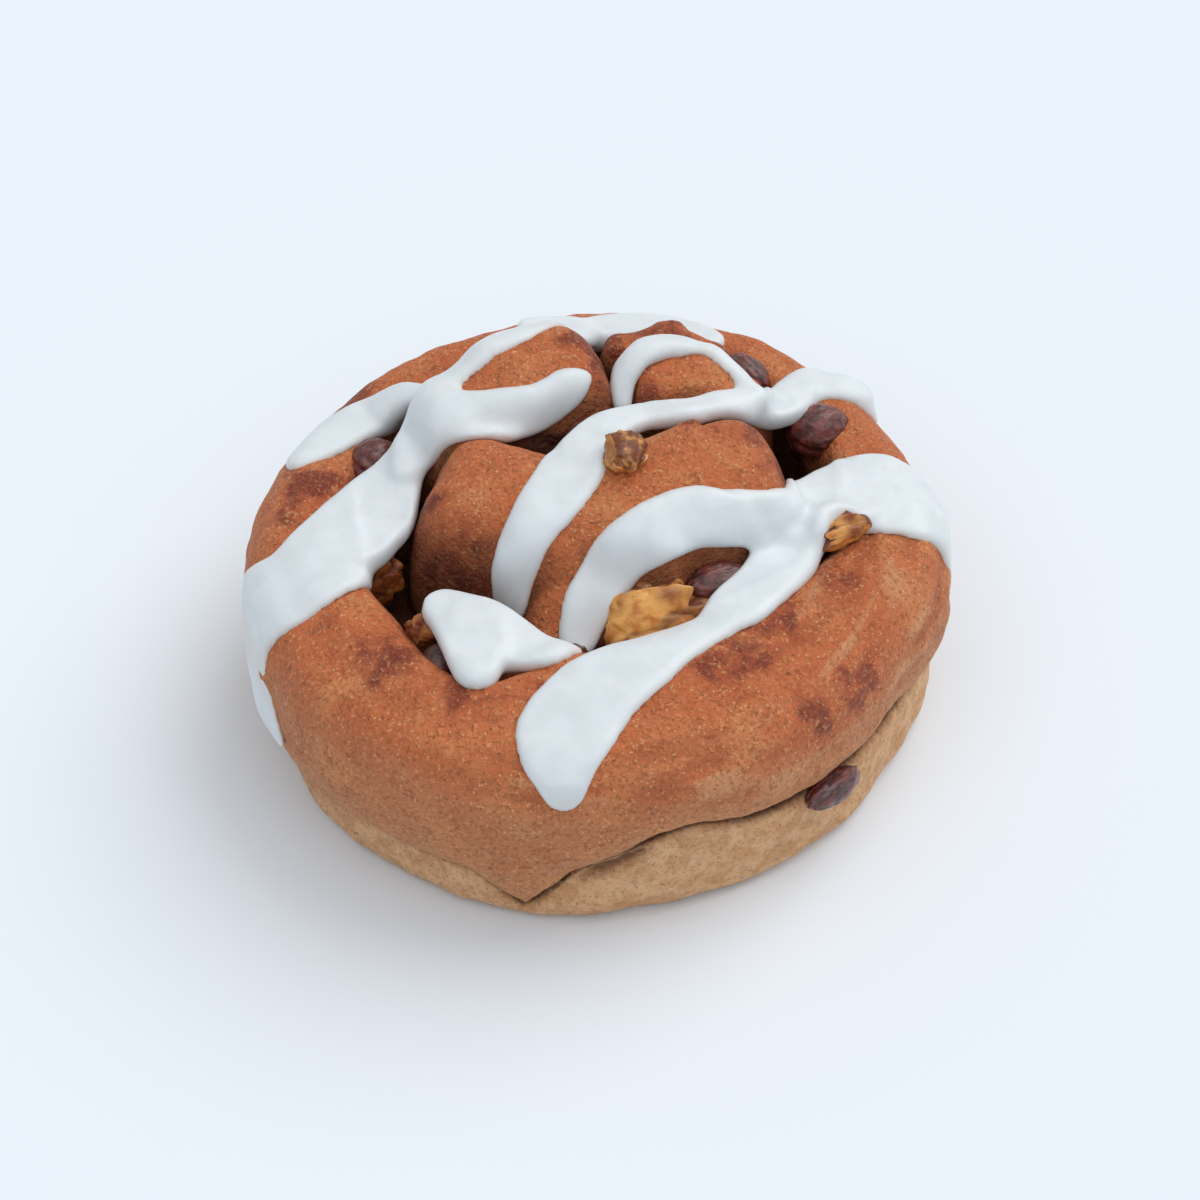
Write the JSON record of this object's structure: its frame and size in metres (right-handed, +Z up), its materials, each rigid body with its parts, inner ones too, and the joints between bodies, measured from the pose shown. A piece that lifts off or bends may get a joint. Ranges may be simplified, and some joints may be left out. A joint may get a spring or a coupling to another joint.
{
  "type": "cinnamon roll",
  "caption": "Iced cinnamon roll: a risen spiral of browned dough with white drizzled icing, walnut pieces and raisins, resting on its flat base.",
  "frame": {"origin": "middle of the flat base, at the level of the surface the roll rests on", "axes": "+Z up out of the top of the roll, +X to the right and +Y away from a person who looks at the side where the icing runs down over the front"},
  "size_m": [0.1043, 0.0968, 0.0497],
  "materials": {
    "crust": "dry baked crust, reddish brown and finely speckled on top, golden tan on the sides",
    "icing": "set sugar icing, smooth satin off-white with rounded edges",
    "walnut": "broken walnut, golden flesh with brown skin",
    "raisin": "wrinkled moist raisin, dark red-brown and glossy"
  },
  "bodies": {
    "root": {"dough": "crust", "icing_back_left": "icing", "icing_centre": "icing", "icing_front_left": "icing", "icing_front_right": "icing", "walnut_top": "walnut", "walnut_front": "walnut", "walnut_right": "walnut", "walnut_left": "walnut", "walnut_lower_left": "walnut", "walnut_back_left": "walnut", "raisin_upper_left": "raisin", "raisin_right": "raisin", "raisin_back_right": "raisin", "raisin_side": "raisin", "raisin_front": "raisin", "raisin_front_small": "raisin", "raisin_lower_left": "raisin", "raisin_left": "raisin", "raisin_centre": "raisin"}
  },
  "joints": []
}
